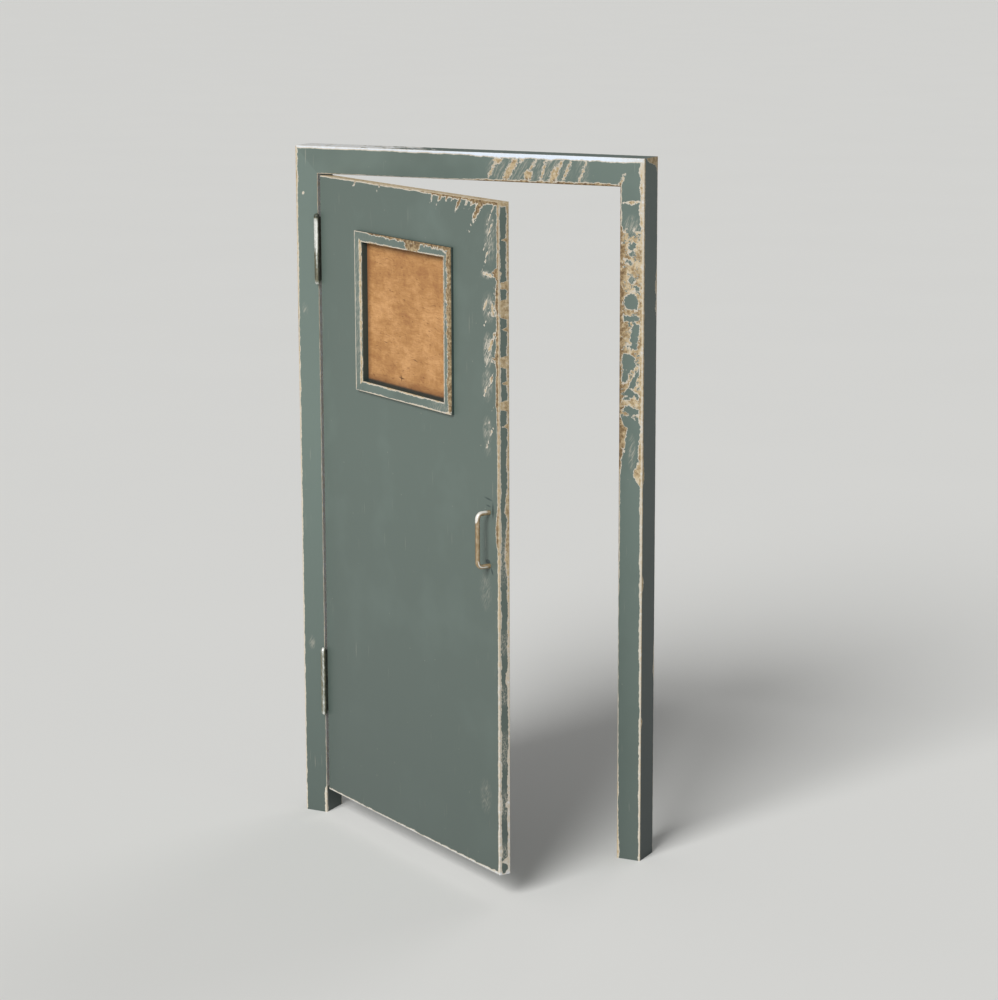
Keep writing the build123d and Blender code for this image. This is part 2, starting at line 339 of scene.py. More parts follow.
def scuffs(tree, place, front, spots, full=1.0):
    """Where fine slanting scratches thin the paint, from 0 to full, as soft ovals.

    Each spot is across, up, half width and half length; over 1 the scratches run together."""
    ovals = [
        reach(tree, place, (across, front, up), (half, SHEET_REACH, length))
        for across, up, half, length in spots]
    return add(tree, "MapRange", (combine(tree, "MINIMUM", *ovals), 1.1, 0.5, 0.0, full))


def chipped_enamel(name, body, wear, fade_and_light=0.0):
    """Air drying alkyd enamel over primer on mild steel, brushed or sprayed, old and chipped.

    The eye gets a soft satin green with slow patches, and losses with a thin chalky rim of
    primer round a dry brown film of rust. wear returns how deep a loss is, how pale it is, how much
    soiling and painted shade darken the paint and how scuffed, and fade makes the whole piece paler
    or darker, in part as painted light: the leaf is given a darker paint than the frame."""
    finish = bpy.context.scene.door_finish
    material, tree = begin(name)
    place = millimetres(tree, body)
    axes = split(tree, place)
    worn, pale, grime_and_shade, scuffed = wear(tree, place, axes)

    # Slow fading in patches of about 30 cm, and a darker paint towards the floor that is partly splashes and
    # partly painted shade
    patches = add(tree, "TexNoise", {"Vector": place, "Scale": 1 / 300, "Detail": 3.0, "Roughness": 0.6})
    faded = add(tree, "MapRange", (patches, 0.38 - fade_and_light, 0.64 - fade_and_light))
    dirt_and_shade = add(tree, "MapRange", (axes["Z"], 1300.0, 0.0, 0.0, 0.9))

    # Rain marks: pale threads about 2 mm wide and 60 mm long
    threads = add(tree, "Mapping", {"Vector": place, "Scale": (1 / 5, 1 / 5, 1 / 130)})
    threads = grain(tree, threads, 1.0, (0.72, 0.80, 0.0, 0.28), 1.0)

    # Specks of 1 to 2 mm where grit has gone through the gloss
    cells = add(tree, "TexVoronoi", {"Vector": place, "Scale": 1 / 46, "Randomness": 1.0})
    speck = add(tree, "MapRange", (cells, 0.045, 0.02, 0.0, 0.4))

    # Scuffs: slanting strokes 3 mm wide and 20 mm long where the primer shows through thin paint
    strokes = add(tree, "Mapping", {
        "Vector": place, "Rotation": (0, math.radians(30), 0), "Scale": (3.4, 3.4, 24.0)},
        vector_type="TEXTURE")
    strokes = grain(tree, strokes, 1.0, (0.46, 0.62), 3.0, 0.6)
    strokes = combine(tree, "MULTIPLY", strokes, scuffed, 0.66)
    strokes = combine(tree, "MINIMUM", strokes, 0.8)

    # The third mask of the wear darkens the paint: weather soiling on ledges, and painted shade in the
    # window's reveals, in the gap behind the hinge edge and on the strike jamb's outer side
    paint = layered(
        tree, finish.enamel, (faded, finish.enamel_faded), (dirt_and_shade, finish.enamel_foot),
        (threads, finish.primer), (speck, finish.primer), (strokes, finish.primer), (grime_and_shade, finish.soot_and_shade))

    # Rust film, mottled at about 12 mm and again at 3 mm, paler where the wear or a painted highlight says so
    mottle = grain(tree, place, 1 / 12, (0.3, 0.7, -0.1, 0.7), 4.0, 0.7)
    tone = add(tree, "Mix", {0: pale, 2: mottle, 3: 1.0}, data_type="FLOAT")
    film = shaded(
        tree, tone, (0.0, finish.rust_dark), (0.28, finish.rust), (0.5, finish.rust_pale),
        (0.7, finish.stained_primer), (0.85, finish.primer), (1.0, finish.rubbed_steel_sheen))

    opened = add(tree, "MapRange", (worn, 0.0, 0.7))
    past_rim = add(tree, "MapRange", (worn, finish.rim, finish.rim + 1.4))
    colour = layered(tree, paint, (opened, layered(tree, finish.primer, (past_rim, film))))

    # Brush and spray texture of the coat, the step down at each chip, and pits of rust
    peel = add(tree, "TexNoise", {"Vector": place, "Scale": 1 / 3.5, "Detail": 2.0})
    peel = combine(tree, "MULTIPLY", peel, 0.12)
    pits = add(tree, "TexNoise", {"Vector": place, "Scale": 1 / 2.5, "Detail": 4.0})
    pits = combine(tree, "MULTIPLY", pits, past_rim)
    stepped = add(tree, "MapRange", (worn, -0.4, 1.2, 1.0, 0.0))
    height = combine(tree, "ADD", peel, pits, stepped)
    bump = add(tree, "Bump", {"Height": height, "Distance": finish.coat, "Strength": 0.9})
    rough = add(tree, "MapRange", (opened, 0.0, 1.0, 0.46, 0.82))
    return close(material, {"Base Color": colour, "Roughness": rough, "Normal": bump, "IOR": 1.5})


def beyond(tree, coordinate, edge, full=1.0, soft=0.5):
    """A mask that rises to full over the last soft millimetres before a coordinate reaches an edge."""
    return add(tree, "MapRange", (coordinate, edge - soft * 1.5, edge - soft * 0.5, 0.0, full))


def hinge_jamb_wear(tree, place, axes):
    """Left jamb: a pale strip on the outer edge, a fine pale line along the leaf that is partly a painted
    highlight in the gap.
    """
    rough = ragged(tree, place, 4.0, 2.5)
    calm = combine(tree, "MULTIPLY", rough, 0.3)
    front = FRAME_FRONT
    fields = [
        arris(tree, axes, {"Y": front, "X": JAMB_FACE}, ((82, 0), (92, 24), (2113, 24)), calm, 20.0),
        arris(tree, axes, {"X": FRAME_LOW.x, "Y": front}, (
            (0, 5.5), (900, 6), (1500, 6.5), (1800, 7), (1930, 8), (2200, 9)), rough, 0.6),
        arris(tree, axes, {"X": JAMB_FACE, "Y": front}, ((0, 8), (84, 7), (92, 1.8), (2113, 1.8)), rough),
        arris(tree, axes, {"X": FRAME_LOW.x, "Y": FRAME_BACK}, ((0, 4), (1200, 2), (2200, 5)), rough),
        arris(tree, axes, {"X": JAMB_FACE, "Y": FRAME_BACK}, ((0, 5), (2113, 4)), rough),
        chip(tree, place, front, (27, 2050), (4.5, 6), 30),
    ]
    outer = along(tree, axes["Z"], (
        (0, 0.76), (900, 0.72), (1500, 0.6), (1600, 0.4), (1690, 0.42), (1740, 0.6), (2000, 0.6),
        (2060, 0.48), (2200, 0.52)))
    # The first 24 mm of the inner face, seen through the gap along the leaf, is bared to a pale tone as a
    # painted highlight so that the gap reads light, and painted shade darkens the paint behind it
    inner = beyond(tree, axes["X"], JAMB_FACE)
    above = add(tree, "MapRange", (axes["Z"], 84.0, 92.0, 0.0, 0.85))
    pale = combine(tree, "MAXIMUM", outer, combine(tree, "MULTIPLY", inner, above))
    grime_and_shade = combine(tree, "MULTIPLY", inner, 0.5)
    spots = scuffs(tree, place, front, ((27, 1678, 12, 22), (32, 576, 13, 24)), 0.45)
    return combine(tree, "MAXIMUM", *fields), pale, grime_and_shade, spots


def strike_jamb_wear(tree, place, axes):
    """Right jamb: a bare outer edge with a painted highlight, a mottled stretch with islands of paint, brown
    inside, painted shade on the outer side.
    """
    rough = ragged(tree, place, 5.0, 3.0)
    front = FRAME_FRONT
    inner = FRAME_RIGHT - JAMB_FACE
    level = add(tree, "MapRange", (axes["Y"], front + 1.5, front + 0.2))
    stretch = along(tree, axes["Z"], (
        (1385, 0), (1425, 1), (1960, 1), (2000, 0.55), (2035, 0)))
    stretch = combine(tree, "MULTIPLY", stretch, level)
    bare = add(tree, "Math", (stretch, 26.0, -15.0), operation="MULTIPLY_ADD")
    bare = add(tree, "Math", (rough, 1.2, bare), operation="MULTIPLY_ADD")
    flecks = grain(tree, place, 1 / 11, (0.48, 0.7, 0.0, 22.0), 4.0, 0.65)
    bare = combine(tree, "SUBTRACT", bare, flecks)
    # Islands of paint left in the bare stretch: across, up, half width, half length, lean
    for across, up, half, length, lean in (
            (33, 2006, 15, 30, 0), (42, 1936, 10, 12, 20), (38, 1912, 14, 8, 0), (30, 1889, 15, 8, 20),
            (40, 1829, 8, 11, 0), (60, 1808, 12, 11, 0), (42, 1763, 24, 24, 0), (39, 1716, 32, 6, 4),
            (51, 1673, 18, 31, 16), (46, 1628, 18, 12, 0), (32, 1580, 24, 28, 0), (23, 1540, 12, 26, 20),
            (52, 1531, 9, 46, 28), (38, 1488, 16, 15, 0), (60, 1479, 9, 8, 0), (38, 1432, 30, 10, 8),
            (29, 1389, 19, 32, 18), (50, 1352, 14, 14, 0)):
        island = chip(tree, place, front, (inner + across, up), (half, length), lean)
        island = combine(tree, "SUBTRACT", island, 2.0)
        island = add(tree, "Math", (rough, 1.4, island), operation="MULTIPLY_ADD")
        island = combine(tree, "SUBTRACT", 0.0, island)
        bare = combine(tree, "MINIMUM", bare, island)
    fields = [
        arris(tree, axes, {"X": FRAME_RIGHT, "Y": front}, (
            (0, 6), (600, 7), (1190, 9), (1215, 24), (1240, 28), (1300, 15), (1400, 12), (1620, 14),
            (1800, 15), (2100, 14), (2200, 15)), rough, 2.2),
        arris(tree, axes, {"X": inner, "Y": front}, (
            (0, 8), (120, 6), (420, 4), (840, 3), (900, 5), (1100, 5), (1230, 5), (1290, 16), (1330, 26),
            (1374, 26), (1410, 9), (1620, 9), (1780, 12), (1990, 11), (2050, 5), (2113, 9)), rough, 0.5),
        arris(tree, axes, {"X": FRAME_RIGHT, "Y": FRAME_BACK}, (
            (0, 3), (560, 3), (600, 7), (720, 3), (1200, 3), (1700, 4), (1730, 10), (1840, 10), (1860, 4),
            (2150, 4), (2172, 12), (2188, 60), (2200, 70)), rough, 0.8),
        arris(tree, axes, {"X": inner, "Y": FRAME_BACK}, ((0, 6), (1200, 4), (2113, 5)), rough),
        arris(tree, axes, {"Y": front, "X": FRAME_RIGHT}, (
            (0, 3), (430, 3), (450, 12), (470, 3), (865, 3), (885, 16), (905, 12), (925, 3),
            (2200, 4)), rough, 4.0),
        bare,
    ]
    line = chip(tree, place, front, (inner + 40, 2068), (3.5, 46), 84)
    fields.append(combine(tree, "ADD", line, rough))
    edge = along(tree, axes["Z"], (
        (0, 0.74), (500, 0.7), (900, 0.48), (1300, 0.3), (1750, 0.28), (1950, 0.34), (2100, 0.36),
        (2200, 0.75)))
    across = add(tree, "MapRange", (axes["X"], inner + 4, inner + 26, 0.35, 1.0))
    at_foot = along(tree, axes["Z"], ((0, 0.6), (700, 0.3), (1200, 0), (2200, 0)))
    # Painted highlight: a cream strip along the outer front edge, wider than its rounding, standing for worn
    # metal that catches the light
    bright = add(tree, "MapRange", (axes["X"], FRAME_RIGHT - 9, FRAME_RIGHT - 4, 0.0, 0.4))
    side = beyond(tree, axes["X"], FRAME_RIGHT, 1.0)
    # Thin primer in clouds of 30 mm along the middle of the bare stretch
    clouds = grain(tree, place, 1 / 30, (0.44, 0.6, 0.0, 0.36), 4.0, 0.65)
    middle = add(tree, "MapRange", (axes["X"], inner + 10, inner + 26))
    clouds = combine(tree, "MULTIPLY", clouds, middle, level)
    pale = combine(tree, "ADD", combine(tree, "MULTIPLY", edge, across), bright, clouds)
    pale = combine(tree, "MINIMUM", pale, 0.76)
    pale = combine(tree, "MAXIMUM", pale, at_foot)
    # Painted shade on the outer side face, which the key light hardly reaches, heavier towards the floor; its
    # losses also take a browner tone
    brown = combine(tree, "MULTIPLY", side, 0.34)
    pale = combine(tree, "SUBTRACT", pale, brown)
    side_shade = along(tree, axes["Z"], ((0, 0.95), (700, 0.78), (1300, 0.6), (2200, 0.4)))
    grime_and_shade = combine(tree, "MULTIPLY", side, side_shade)
    patches = ((inner + 40, 2000, 30, 30), (inner + 44, 1870, 34, 60), (inner + 44, 1300, 14, 60))
    return combine(tree, "MAXIMUM", *fields), pale, grime_and_shade, scuffs(tree, place, front, patches, 0.6)


def head_wear(tree, place, axes):
    """Head: steel rubbed bare along the top with a painted sky reflection, leaning streaks across the right
    half, brown below.
    """
    rough = ragged(tree, place, 4.5, 3.5)
    calm = combine(tree, "MULTIPLY", rough, 0.4)
    front = FRAME_FRONT
    # The top face is bare on the left and painted on the right
    kept = along(tree, axes["X"], ((0, 0), (200, 0), (760, 1), (1215, 1)))
    on_top = beyond(tree, axes["Z"], FRAME_TOP)
    top_face = add(tree, "Math", (on_top, 42.0, -30.0), operation="MULTIPLY_ADD")
    top_face = add(tree, "Math", (kept, -36.0, top_face), operation="MULTIPLY_ADD")
    top_face = add(tree, "Math", (rough, 2.2, top_face), operation="MULTIPLY_ADD")
    fields = [
        arris(tree, axes, {"Z": FRAME_TOP, "Y": front}, (
            (0, 9), (300, 8.5), (600, 10), (680, 14), (1060, 15), (1100, 18), (1150, 15),
            (1215, 15)), calm, 5.0),
        top_face,
        arris(tree, axes, {"Z": HEAD_FOOT, "Y": front}, (
            (80, 2.6), (560, 3), (680, 7), (800, 9), (1000, 8), (1135, 9)), rough, 0.5),
        arris(tree, axes, {"Z": FRAME_TOP, "Y": FRAME_BACK}, ((0, 5), (600, 6), (1215, 8)), rough),
    ]
    # Streaks: across where each crosses the middle of the head, up, half width, half length, lean
    streaks = [
        chip(tree, place, front, (across, up), (half, length), lean) for across, up, half, length, lean in (
            (705, 2154, 6, 58, 30), (766, 2154, 13, 60, 32), (826, 2138, 15, 20, 10), (838, 2160, 6, 44, 30),
            (878, 2152, 6, 50, 18), (914, 2138, 14, 34, 26), (934, 2170, 7, 34, 26), (958, 2156, 6, 52, 24),
            (1010, 2152, 5, 52, 24), (1139, 2128, 7, 26, 24), (724, 2180, 18, 13, 0), (806, 2186, 8, 16, 20),
            (900, 2188, 10, 9, 0))]
    nicks = grain(tree, place, 1 / 8, (0.3, 0.7, -6.0, 5.0), 4.0, 0.7)
    inside = combine(tree, "ADD", combine(tree, "MAXIMUM", *streaks), nicks)
    # Painted reflection: along the top edge and face the tone rises to the bluish rubbed steel, which holds
    # the sky's reflection as well as the wear
    height = along(tree, axes["Z"], (
        (HEAD_FOOT, 0.12), (HEAD_FOOT + 10, 0.14), (HEAD_FOOT + 16, 0.46), (FRAME_TOP - 20, 0.46),
        (FRAME_TOP - 12, 1), (FRAME_TOP - 4, 1), (FRAME_TOP, 0.94)))
    right = along(tree, axes["X"], ((0, 0.92), (400, 0.94), (640, 1), (1060, 1), (1120, 0.96), (1215, 0.9)))
    pale = combine(tree, "MULTIPLY", height, right)
    grime_and_shade = beyond(tree, axes["Z"], FRAME_TOP, 0.2)
    patches = ((720, 2150, 40, 60), (790, 2150, 60, 60), (900, 2150, 80, 60), (1010, 2150, 24, 60))
    return combine(tree, "MAXIMUM", *fields, inside), pale, grime_and_shade, scuffs(tree, place, front, patches, 0.55)


def leaf_wear(tree, place, axes):
    """Leaf: rusted lock edge with islands of paint, scratches beside it, notches along the top."""
    rough = ragged(tree, place, 4.5, 3.0)
    lock = LEAF_WIDTH
    top = LEAF_TOP
    edge_face = [
        arris(tree, axes, {"X": lock, "Y": LEAF_DEPTH}, (
            (82, 26), (95, 8), (112, 8), (118, 25), (128, 25), (134, 8), (290, 8), (300, 18), (312, 8),
            (664, 8), (680, 12), (710, 13), (722, 8), (1000, 9), (1060, 15), (1130, 14), (1150, 9), (1180, 9),
            (1200, 16), (1240, 15), (1260, 9), (2108, 9)), rough, 0.9),
        arris(tree, axes, {"X": lock, "Y": LEAF_DEPTH}, (
            (1440, 0), (1452, 28), (1464, 0), (1494, 0), (1502, 28), (1524, 28), (1532, 0), (1570, 0),
            (1580, 26), (1590, 0), (1620, 0), (1630, 32), (1655, 32), (1662, 0), (1728, 0), (1738, 28),
            (1748, 0), (1764, 0), (1774, 34), (1820, 34), (1828, 0), (1850, 0), (1858, 30), (1874, 30),
            (1882, 0), (1990, 0), (1998, 25), (2006, 0)), rough, 0.9),
    ]
    fields = [
        arris(tree, axes, {"X": lock, "Y": 0.0}, (
            (82, 7), (600, 6), (1000, 6), (1080, 8), (1140, 17), (1200, 8), (1300, 6), (1440, 8), (1540, 14),
            (1600, 12), (1680, 17), (1740, 10), (1850, 15), (1880, 8), (1905, 40), (1916, 8), (2000, 8),
            (2108, 9)), rough, 3.0),
        arris(tree, axes, {"Y": 0.0, "X": lock}, ((82, 9), (1300, 9), (2108, 8)), rough, 3.0),
        arris(tree, axes, {"Z": top, "Y": 0.0}, (
            (0, 3.5), (300, 4), (600, 5), (680, 8), (860, 9), (930, 15), (1000, 10),
            (1043.5, 12)), rough, 0.3),
        arris(tree, axes, {"Z": top, "Y": LEAF_DEPTH}, ((0, 8), (1043.5, 10)), rough),
        arris(tree, axes, {"Z": LEAF_FOOT, "Y": 0.0}, ((0, 6), (800, 7), (1043.5, 9)), rough),
        arris(tree, axes, {"Z": LEAF_FOOT, "Y": LEAF_DEPTH}, ((0, 5), (1043.5, 6)), rough),
        arris(tree, axes, {"X": 0.0, "Y": 0.0}, ((82, 1), (2108, 1)), rough),
        arris(tree, axes, {"X": 0.0, "Y": LEAF_DEPTH}, ((82, 4), (2108, 5)), rough),
    ]
    on_top = beyond(tree, axes["Z"], top, 1.0)
    fields.append(add(tree, "Math", (on_top, 14.0, -8.0), operation="MULTIPLY_ADD"))
    chips = []
    # Notches that run down from the top edge: across, half width, depth
    for across, half, deep in (
            (222, 5, 20), (371, 4, 20), (684, 7, 26), (726, 7, 46), (768, 10, 22), (800, 6, 20), (836, 9, 62),
            (878, 9, 28), (908, 8, 34), (940, 14, 96)):
        lean = 34
        away = deep * 0.3
        spot = (across + away * math.tan(math.radians(lean)), top + away * 0.2)
        chips.append(chip(tree, place, 0.0, spot, (half, deep * 1.15), lean))
    # Scratches and scars beside the lock edge: across, up, half width, half length
    for across, up, half, length in (
            (1006, 2070, 1.6, 26), (1000, 2023, 2.2, 22), (976, 1981, 2.2, 20), (996, 1971, 2.2, 24),
            (969, 1918, 2.6, 16), (1010, 1822, 3, 22), (972, 1800, 3, 18), (992, 1776, 3, 20),
            (1006, 1690, 7, 38), (984, 1640, 4, 24), (1008, 1590, 7, 30), (976, 1552, 4, 18),
            (977, 1434, 2.4, 22), (1000, 1418, 2.4, 20), (1012, 1500, 3, 20)):
        chips.append(chip(tree, place, 0.0, (across, up), (half, length), 32))
    chips.append(chip(tree, place, 0.0, (994, 1894), (32, 5), 6))
    # Chips stay on the front sheet and its folds, so that the back is plain
    behind = add(tree, "MapRange", (axes["Y"], 4.0, 10.0, 0.0, -40.0))
    fields += [combine(tree, "ADD", field, rough, behind) for field in chips]
    # Nor do the losses on the edge face run on round the back
    plain = beyond(tree, axes["Y"], LEAF_DEPTH, -36.0)
    fields += [combine(tree, "ADD", field, plain) for field in edge_face]
    # The arris is cream all along, and the edge face behind it is tan
    arris_tone = add(tree, "MapRange", (axes["Y"], 9.0, 12.0, 0.64, 0.42))
    past = add(tree, "MapRange", (axes["Y"], 0.2, 1.0))
    on_edge = combine(tree, "MULTIPLY", arris_tone, past)
    low = along(tree, axes["Z"], (
        (82, 0.86), (100, 0.8), (700, 0.76), (900, 0.62), (1060, 0.5), (1100, 0.06), (1190, 0.08),
        (1230, 0.3), (1430, 0.26), (1480, 0.06), (1700, 0.04), (2108, 0.04)))
    top_tone = combine(tree, "MULTIPLY", on_top, 0.5)
    scars = scuffs(tree, place, 0.0, (
        (1000, 2000, 30, 76), (985, 1893, 36, 14), (992, 1798, 36, 46), (984, 1570, 30, 50),
        (984, 1436, 26, 42)))
    heavy = scuffs(tree, place, 0.0, ((988, 1672, 24, 52), (976, 1896, 18, 7)), 3.0)
    edge_scars = scuffs(tree, place, LEAF_DEPTH / 2, [(lock, up, 10, half) for up, half in (
        (1060, 90), (800, 40), (640, 34), (470, 60), (300, 50), (150, 34))], 0.8)
    faint = scuffs(tree, place, 0.0, ((972, 948, 34, 62), (968, 312, 34, 56), (986, 1378, 22, 24)), 0.34)
    scars = combine(tree, "MAXIMUM", scars, heavy, faint, edge_scars)
    scar_tone = combine(tree, "MINIMUM", scars, 0.5)
    away = add(tree, "MapRange", (axes["X"], lock - 14, lock - 26))
    scar_tone = combine(tree, "MULTIPLY", scar_tone, away)
    pale = combine(tree, "MAXIMUM", on_edge, low, top_tone, scar_tone)
    # Dark arcs above the pull and round its lower foot
    arcs = [chip(tree, place, 0.0, spot, size, lean) for spot, size, lean in (
        ((988, 1230), (28, 3.6), 6), ((1013, 1198), (5, 30), 0), ((989, 1209), (17, 3.2), 5),
        ((984, 1040), (16, 8), 0), ((1007, 1014), (5, 15), -30))]
    dark_arcs = add(tree, "MapRange", (combine(tree, "MAXIMUM", *arcs), 0.0, 2.6, 0.0, 0.8))
    grime_and_shade = combine(tree, "MAXIMUM", beyond(tree, axes["Y"], LEAF_DEPTH, 0.15), dark_arcs)
    return combine(tree, "MAXIMUM", *fields), pale, grime_and_shade, scars


def bead_wear(side):
    """Wear of one front bead, by the side of the window that it lies on."""
    low, high = [(corner - LEAF_CORNER) * MM for corner in box_when_closed("window_front_bead_" + side)]
    centre = (low.z + high.z) / 2
    # The outer edge and the way inwards, the tone at the outer edge and further in, how much is
    # scuffed, and the scuffed spot
    axis, outer, inward, outer_tone, inner_tone, full, spot = {
        "top": ("Z", high.z, -1, 0.06, 0.26, 0.12, (low.x + 80, high.z - 10, 90, 24)),
        "bottom": ("Z", low.z, 1, 0.72, 0.54, 0.5, (high.x - 60, low.z + 16, 70, 24)),
        "hinge_side": ("X", low.x, 1, 0.66, 0.5, 0.5, (low.x + 20, centre, 34, 260)),
        "lock_side": ("X", high.x, -1, 0.16, 0.2, 0.2, (high.x - 26, centre, 30, 280))}[side]
    free = "X" if axis == "Z" else "Z"
    start, end = (low.x, high.x) if free == "X" else (low.z, high.z)
    # Worn lines along the bead: middle of the line, then half widths from one end to the other
    lines = {
        "top": ((0, ((0, 2.4), (80, 3), (110, 7), (250, 8), (330, 14), (385, 13), (410, 11), (567, 13))),
                (18, ((0, 0), (300, 0), (322, 15), (374, 15), (396, 0), (530, 0), (567, 10))),
                (31, ((0, 4), (567, 3)))),
        "bottom": ((0, ((0, 3), (540, 5), (567, 15))), (31, ((0, 4.5), (567, 4)))),
        "hinge_side": ((1, ((0, 3.4), (501, 3))), (34, ((0, 7), (501, 7.5)))),
        "lock_side": ((7, ((0, 14), (250, 17), (501, 15))), (39, ((0, 3.6), (501, 4.4)))),
    }[side]

    def wear(tree, place, axes):
        rough = ragged(tree, place, 3.0, 2.2)
        across = combine(tree, "SUBTRACT", axes[axis], outer)
        across = combine(tree, "MULTIPLY", across, inward)
        fields = []
        for middle, widths in lines:
            off = apart(tree, across, middle)
            share = (end - start) / widths[-1][0]
            width = along(tree, axes[free], [(start + s * share, w) for s, w in widths], WIDEST)
            shake = combine(tree, "MULTIPLY", width, 0.14)
            inside = add(tree, "Math", (shake, rough, width), operation="MULTIPLY_ADD")
            fields.append(combine(tree, "SUBTRACT", inside, off))
        pale = add(tree, "MapRange", (across, 15.0, 22.0, outer_tone, inner_tone))
        deep = add(tree, "MapRange", (axes["Y"], low.y + 2.6, low.y + 4.2))
        keep = combine(tree, "MULTIPLY", deep, -30.0)
        worn = combine(tree, "ADD", combine(tree, "MAXIMUM", *fields), keep)
        # Painted shade: the inner faces deep in the window's reveal are darkened
        shade = combine(tree, "MULTIPLY", deep, 0.82)
        return worn, pale, shade, scuffs(tree, place, low.y, (spot,), full)

    return wear


def quiet_wear(tree, place, axes):
    """Pieces out of the weather: a few small losses only."""
    none = add(tree, "Math", (axes["X"], 0.0, 0.0), operation="MULTIPLY_ADD")
    window = combine(tree, "ADD", none, 0.35)
    pale = combine(tree, "ADD", none, 0.1)
    return patchy(tree, place, window, 16.0, 0.0), pale, none, none


class DOOR_OT_finish_frame(bpy.types.Operator):
    """Paint the two jambs and the head, and wear them as their places ask"""

    bl_idname = "door.finish_frame"
    bl_label = "Finish Frame"

    def execute(self, context):
        # fade is partly painted light: it makes each piece's paint paler or darker for how the key light
        # falls on it
        for name, node, wear, fade_and_light in (
                ("hinge jamb", "hinge_jamb", hinge_jamb_wear, 0.3),
                ("strike jamb", "strike_jamb", strike_jamb_wear, 0.12),
                ("head", "frame_head", head_wear, 0.12)):
            dress(chipped_enamel("Chipped enamel, " + name, "frame", wear, fade_and_light), [node])
        return {"FINISHED"}


class DOOR_OT_finish_leaf(bpy.types.Operator):
    """Paint the sheets of the leaf, and prime the channels inside it"""

    bl_idname = "door.finish_leaf"
    bl_label = "Finish Leaf"

    def execute(self, context):
        # Painted shade: the leaf, turned away from the key light, is given a darker paint than the frame
        enamel = chipped_enamel("Chipped enamel, leaf", "leaf", leaf_wear, -0.12)
        dress(enamel, ["leaf_front_sheet", "leaf_back_sheet"])
        hidden = ("hinge_stile", "lock_stile", "top_channel", "bottom_channel")
        dress(zinc_primer(), ["leaf_" + name for name in hidden])
        return {"FINISHED"}


class DOOR_OT_finish_window(bpy.types.Operator):
    """Paint the beads and the liner of the window, and give the board its veneer"""

    bl_idname = "door.finish_window"
    bl_label = "Finish Window"

    def execute(self, context):
        sides = ("top", "bottom", "hinge_side", "lock_side")
        for side in sides:
            name = "Chipped enamel, front bead " + side.replace("_", " ")
            dress(chipped_enamel(name, "leaf", bead_wear(side)), ["window_front_bead_" + side])
        quiet = chipped_enamel("Enamel, sheltered", "leaf", quiet_wear)
        dress(quiet, ["window_back_bead_" + side for side in sides] + ["window_liner"])
        dress(plywood(), ["window_board"])
        return {"FINISHED"}


class DOOR_OT_finish_hinges(bpy.types.Operator):
    """Give the hinges worn steel with what is left of their paint"""

    bl_idname = "door.finish_hinges"
    bl_label = "Finish Hinges"

    def execute(self, context):
        for body, parts in (("frame", ("frame_plate", "pin", "bottom_tip")), ("leaf", ("leaf_plate",))):
            names = [f"{end}_hinge_{part}" for end in ("upper", "lower") for part in parts]
            dress(hinge_steel(body), names)
        return {"FINISHED"}


class DOOR_OT_finish_pull(bpy.types.Operator):
    """Give the pull its rust, rubbed bright on the bends"""

    bl_idname = "door.finish_pull"
    bl_label = "Finish Pull"

    # Give the pull its rust, with painted highlights on the bends
    def execute(self, context):
        dress(pull_steel(), ["pull_handle"])
        return {"FINISHED"}


def zinc_primer():
    """Zinc phosphate primer, sprayed on folded steel: flat warm grey with a fine dry grain."""
    material, tree = begin("Zinc phosphate primer")
    place = millimetres(tree, "leaf")
    dry = add(tree, "TexNoise", {"Vector": place, "Scale": 1 / 25, "Detail": 5.0, "Roughness": 0.7})
    colour = layered(tree, linear("#6B6660"), (dry, linear("#8C867C")))
    return close(material, {"Base Color": colour, "Roughness": 0.8, "IOR": 1.5})


